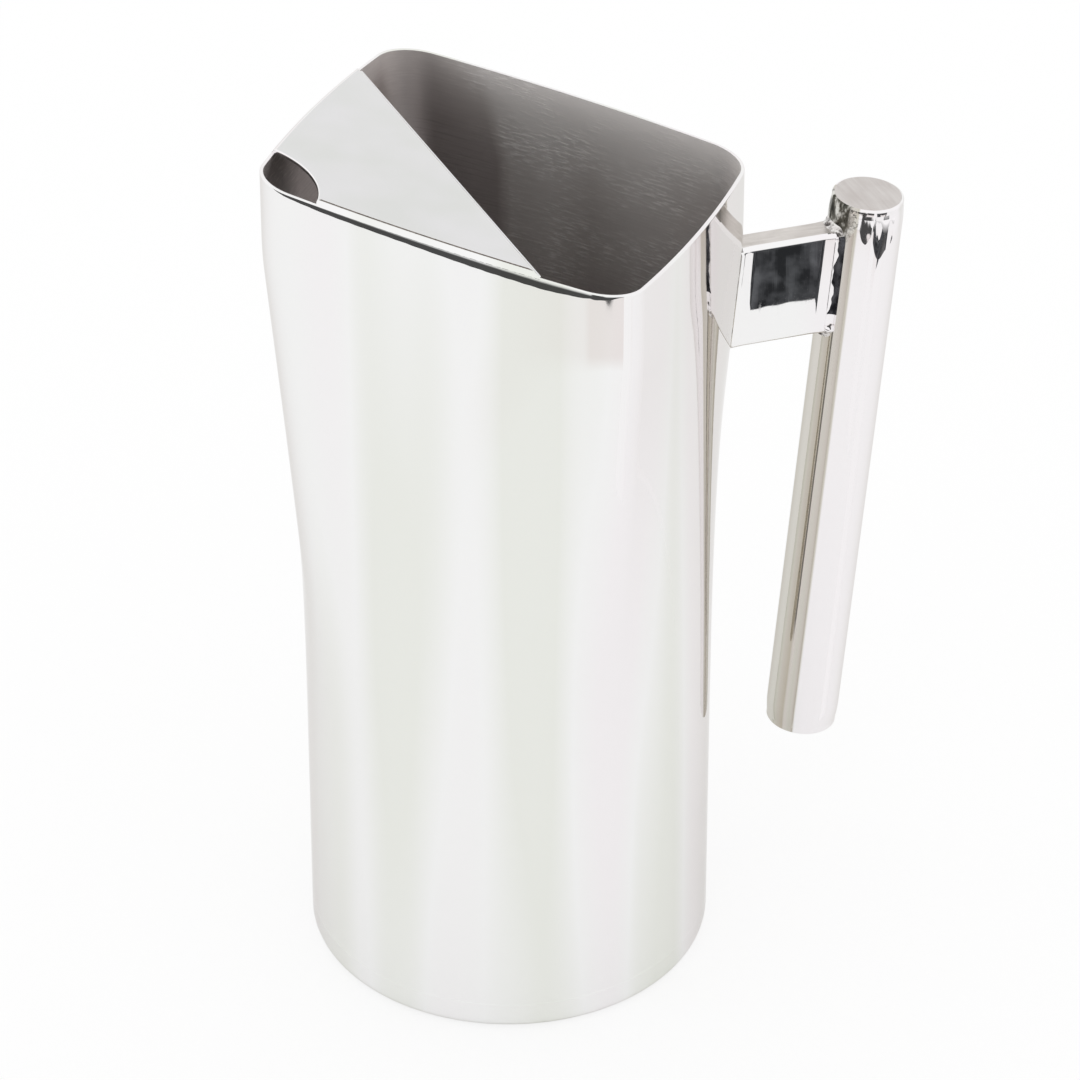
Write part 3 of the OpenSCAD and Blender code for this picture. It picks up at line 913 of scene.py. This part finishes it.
def arm_outline(count):
    """Outline (side, up) of the arm, with its outward normals, from the middle of its top round.

    Its two sides are slightly crowned. Its lower edges are quarter circles, and its upper ones
    are circles cut off by the flat ground top. count is the number of points on one half of it.
    """
    half_w, half_h = ARM_W / 2, ARM_H / 2
    start = ARM_TOP_GROUND
    top_side = half_w - ARM_TOP_R + ARM_TOP_R * np.cos(start)
    upper = arc((half_w - ARM_TOP_R, half_h - ARM_TOP_R * np.sin(start)), ARM_TOP_R,
                np.degrees(start), 0, 12)
    lower = arc((half_w - ARM_EDGE_R, ARM_EDGE_R - half_h), ARM_EDGE_R, 0, -90, 10)
    flat_top = np.column_stack([np.linspace(0, top_side, 12), np.full(12, half_h)])
    face_up = np.linspace(upper[-1, 1], lower[0, 1], 60)[1:-1]
    face = np.column_stack([np.full(len(face_up), half_w), face_up])
    bottom = np.column_stack([np.linspace(lower[-1, 0], 0, 8)[1:], np.full(7, -half_h)])
    half = np.concatenate([flat_top[:-1], upper, face, lower, bottom])
    level = np.clip(np.abs(half[:, 1]) / half_h, 0, 1)
    half[:, 0] *= 1 - ARM_CROWN / half_w * level ** 2
    half = resample(half, count)
    line = np.concatenate([half, half[-2:0:-1] * (-1, 1)])
    tangent = np.roll(line, -1, axis=0) - np.roll(line, 1, axis=0)
    normal = np.column_stack([-tangent[:, 1], tangent[:, 0]])
    return line, normal / np.linalg.norm(normal, axis=1, keepdims=True)


def make_arm():
    """The arm: a box section from the wall to the rod, cut to fit both, its top ground flat.

    Its sides are ground hollow by ARM_HOLLOW, which fades out towards both ends.
    """
    side, up = arm_outline(ARM_STEPS)[0].T
    start = wall_out(side, up) - ARM_SINK
    end = -np.sqrt(ROD_R ** 2 - side ** 2) + ARM_SINK
    share = np.linspace(0, 1, ARM_ROWS)[:, None]
    out = start + (end - start) * share
    from_end = np.minimum(out - start, end - out)
    hollow = ARM_HOLLOW * ease((from_end - ARM_HOLLOW_FROM) / ARM_HOLLOW_RUN)
    grid = np.stack([out, side * (1 - 2 * hollow / ARM_W), np.broadcast_to(up, out.shape)], axis=-1)
    on_top = (up + np.roll(up, -1)) / 2 > ARM_H / 2 - 0.01
    piece = Piece("arm").grid(on_handle(grid), wrap_cols=True, finish=on_top[None, :])
    for end_ring in (grid[0], grid[-1]):
        piece.flat(on_handle(end_ring))
    piece.make([HANDLE_MIRROR, ARM_TOP], "polished_steel", "handle_arm", sharp=20)


def near_ends(height, start, run):
    """0 beside the arm's middle, rising to 1 above and below: from start times ARM_H, over run."""
    return ease((np.abs(height) - ARM_H * start) / run)


def make_fillet(name, node, foot, toward, radii, lumps, toe, toe_foot):
    """A weld run round one end of the arm, ground to a hollow fillet.

    Across the arm's outline, the fillet is the arc of a circle that touches the arm and the face
    it meets. The circle's centre is one radius off the arm and is found by halving: it moves along
    the arm until its distance to that face is its radius. foot gives the face's place along the
    arm for points (side, up), and toward is the sign of that way. radii are the circle's beside
    the arm, and above and below it. The arc's points then rise by lumps, a function of the
    outline's points and the share of the arc. toe is the share of the arc nearest that face which
    is painted near black as painted shade in the crease, above toe_foot.
    """
    outline, normal = arm_outline(FILLET_STEPS)
    height = outline[:, 1]
    size = radii[0] + (radii[1] - radii[0]) * near_ends(height, 0.44, 1.5)
    off = np.linspace(-FILLET_FROM, FILLET_TO, 90)[None, :] * size[:, None]
    across = outline[:, None, :] + off[..., None] * normal[:, None, :]
    face = foot(across[..., 0], across[..., 1])
    near = foot(outline[:, 0], outline[:, 1])
    low, high = near - toward * FILLET_TO * size, near
    for _ in range(HALVINGS):
        middle = (low + high) / 2
        gap = np.hypot(face - middle[:, None], off - size[:, None])
        clear = gap.min(axis=1) > size
        low = np.where(clear, middle, low)
        high = np.where(clear, high, middle)
    pick = gap.argmin(axis=1)
    rows = np.arange(len(outline))
    end = np.arctan2(off[rows, pick] - size, (face[rows, pick] - middle) * toward)
    toe_start = 1 - toe * (1 + sines(height, TOE_WAVES))
    step = np.linspace(0, 1, FILLET_ROWS)[:, None]
    share = np.concatenate([toe_start * step, toe_start + (1 - toe_start) * step[1:]])
    turn = -np.pi / 2 + (end + np.pi / 2) * share
    rise = lumps(outline, share) * np.sin(np.pi * share) ** 0.7
    reach = size - rise
    out = middle + toward * reach * np.cos(turn)
    away = size + reach * np.sin(turn)
    quarter = size / 4
    sunk_out = foot(*(outline + normal * quarter[:, None]).T) + toward * FILLET_SINK
    out = np.concatenate([out, [sunk_out, middle]])
    away = np.concatenate([away, [quarter, np.full(len(size), -FILLET_SINK)]])
    place = outline + away[..., None] * normal
    grid = on_handle(np.concatenate([out[..., None], place], axis=-1))
    on_ends = (np.abs(normal[:, 1]) > 0.3)[None, :]
    row = np.arange(len(grid))[:, None]
    # the weld's toe, painted near black as shade in the crease between weld and face
    in_toe = (row >= FILLET_ROWS - 1) & (row < len(share)) & (height > toe_foot)
    finish = np.where(on_ends, 1, np.where(in_toe, 2, 0))
    piece = Piece(name).grid(grid, wrap_rows=True, wrap_cols=True, finish=finish)
    piece.make([HANDLE_MIRROR, WELD, TOE_SHADE], "weld_steel", node, sharp=50)


def rod_out(side, up):
    """Distance out to the rod's face, the same all the way up."""
    return -np.sqrt(np.maximum(ROD_R ** 2 - side ** 2, 0.5))


def wall_lumps(outline, share):
    """Lumps of the weld at the wall: a few small ones on top and below."""
    across, up = outline.T
    return near_ends(up, 0.45, 1.2) * 0.22 * (1 + np.sin(2.6 * across + 4.0 * share))


def rod_lumps(outline, share):
    """Lumps of the weld at the rod: large ones on top and below, which reach round the edges."""
    across, up = outline.T
    slow = 0.3 * np.sin(2.1 * across + 1.1 * up + 3.0 * share)
    fast = 0.15 * np.sin(5.2 * across + 6.0 * share)
    return near_ends(up, 0.38, 2.2) * (0.35 + slow + fast)


make_wall()
make_foot()
make_guard()
make_guard_weld("guard_bead_front", -1, "guard_weld_front")
make_guard_weld("guard_bead_back", 1, "guard_weld_back")
make_arm()
make_fillet("arm_fillet_wall", "arm_body_weld", wall_out, -1, FILLET_WALL_R, wall_lumps,
            TOE_AT_WALL, -ARM_H)
make_fillet("arm_fillet_rod", "arm_rod_weld", rod_out, 1, FILLET_ROD_R, rod_lumps,
            TOE_AT_ROD, -0.3 * ARM_H)
make_rod()


# The set, in metres. The polished steel mirrors the edges of a white table as dark, with the room's
# dark floor beyond them, which fades to white further off. A dark board lies to the right of the
# pitcher's front, for the arm to mirror, and two white cards keep it out of the wall and the rod.
TABLE_GLOW = 0.75
TABLE_Z = -0.0001
TABLE = [(-0.317, -0.415), (1.5, -0.415), (4.0, 0.2), (4.0, 4.0), (-2.35, 4.0)]
TABLE_GREY = (0.88, 0.88, 0.88, 1)
SHINY_SHARE = 0.45

# A faint pinkish place on the table, in front of the pitcher and off its foot, as an ellipsoid's
# centre and radii each
PINK = (0.85, 0.785, 0.765, 1)
PINK_PLACE = ((-0.03, -0.40, 0.0), (0.43, 0.27, 1.0))
FOOT_PLACE = ((0.0, -0.062, 0.0), (0.33, 0.33, 1.0))

# The floor, and the round place and the turned strip of it that are dark
ROOM_Z = -0.75
ROOM = [(-10, -10), (10, -10), (10, 10), (-10, 10)]
FLOOR_GREY = (0.07, 0.07, 0.07, 1)
FLOOR_PLACES = [((-0.8, -0.2, ROOM_Z), (3.6, 3.6, 1.0)),
                ((-2.1, -5.0, ROOM_Z), (4.4, 1.1, 1.0), np.radians(67))]
FLOOR_FADE = 0.3

BOARD_Z = 0.002
BOARD = [(0.184, -0.2365), (0.216, -0.2315), (0.25, -0.243), (0.31, -0.30), (0.38, -0.41),
         (0.235, -0.41)]
BOARD_TURN = np.radians(-62)
BOARD_TONES = [(0.43, (0.022, 0.023, 0.025)), (0.66, (0.15, 0.155, 0.165))]

# Two upright cards: each edge in plan, and the heights along its lower edge and back along the upper
CARD_LEVEL = 0.96
WALL_CARD = [(0.1126, -0.138), (0.0786, -0.172)]
WALL_CARD_HEIGHTS = [0.04, 0.04, 0.18, 0.18]
ROD_CARD = [(0.1088, -0.045), (0.128, -0.045)]
ROD_CARD_HEIGHTS = [0.0, 0.0, 0.159, 0.154]


def stage_plate(name, plan, heights, material, seen=True):
    """A flat stage piece from its corners' plan and heights. Unseen ones show only in the steel."""
    corners = np.column_stack([plan, np.broadcast_to(heights, len(plan))]).tolist()
    mesh = bpy.data.meshes.new(name)
    mesh.from_pydata(corners, [], [tuple(range(len(corners)))])
    mesh.materials.append(material)
    plate = bpy.data.objects.new(name, mesh)
    bpy.context.scene.collection.objects.link(plate)
    if not seen:
        plate.visible_camera = False
        plate.visible_diffuse = False
        plate.visible_shadow = False


def dark_floor():
    """Dull dark grey, which fades to white at the edges of a round place and of a strip."""
    look = new_look("dark_floor")
    off_round, off_strip = (look.between(look.inside(*place), FLOOR_FADE, 0.0)
                            for place in FLOOR_PLACES)
    return look.blend(off_round * off_strip, look.dull(FLOOR_GREY), look.glow())


def cloudy_dark():
    """Dull black with paler clouds and streaks."""
    look = new_look("dark_board")
    streaks = look.noise(150, (0.1, 1, 1), 4.0, turned=BOARD_TURN)
    specks = look.noise(130, (0.6, 1, 1), 4.0, turned=BOARD_TURN)
    return look.end(look.dull(look.ramp(0.55 * streaks + 0.45 * specks, BOARD_TONES)))


def white_table():
    """White table top, whose own white shows through its shadows.

    It does so by the share TABLE_GLOW to the camera, by SHINY_SHARE of that in shiny and clear
    surfaces, and not at all to dull ones. The camera doesn't see the pinkish place.
    """
    look = new_look("white_table")
    camera_ray, shiny, clear = (look.node("ShaderNodeLightPath", output=kind) for kind in
                                ("Is Camera Ray", "Is Glossy Ray", "Is Transmission Ray"))
    seen = camera_ray + SHINY_SHARE * shiny + SHINY_SHARE * clear
    off_foot = look.between(look.inside(*FOOT_PLACE), 0.18, 0.03)
    in_front = look.between(look.inside(*PINK_PLACE), 0.0, 0.45)
    tint = look.mix(off_foot * in_front * (1 - camera_ray), PURE_WHITE, PINK)
    dull = look.dull(look.mix(seen, TABLE_GREY, tint))
    return look.blend(TABLE_GLOW * seen, dull, look.glow(colour=tint))


def card_white():
    """Nearly white, whatever the light."""
    look = new_look("card_white")
    return look.end(look.glow(CARD_LEVEL))


def light_world():
    """White room on all sides."""
    look = Look(bpy.data.worlds.new("white_room"))
    white = look.node("ShaderNodeBackground", None, {"Color": PURE_WHITE, "Strength": 1.0})
    look.node("ShaderNodeOutputWorld", None, {"Surface": white})
    bpy.context.scene.world = look.owner


stage_plate("table", TABLE, TABLE_Z, white_table())
stage_plate("room_floor", ROOM, ROOM_Z, dark_floor(), seen=False)
stage_plate("dark_board", BOARD, BOARD_Z, cloudy_dark(), seen=False)
CARD_WHITE = card_white()
stage_plate("pale_screen", WALL_CARD + WALL_CARD[::-1], WALL_CARD_HEIGHTS, CARD_WHITE, seen=False)
stage_plate("white_card", ROD_CARD + ROD_CARD[::-1], ROD_CARD_HEIGHTS, CARD_WHITE, seen=False)
light_world()

# The camera, solved from the photograph: a long lens, its pitch down and its turn from +Y in degrees
CAMERA_PITCH = 35.006
CAMERA_TURN = -25.046
camera = bpy.data.objects.new("camera", bpy.data.cameras.new("camera"))
camera.data.sensor_width = 36
camera.data.lens = 200
camera.location = (-0.5207, -1.1335, 0.9912)
camera.rotation_euler = np.radians((90 - CAMERA_PITCH, 0, CAMERA_TURN))
bpy.context.scene.collection.objects.link(camera)
bpy.context.scene.camera = camera
bpy.context.scene.view_settings.view_transform = "Standard"
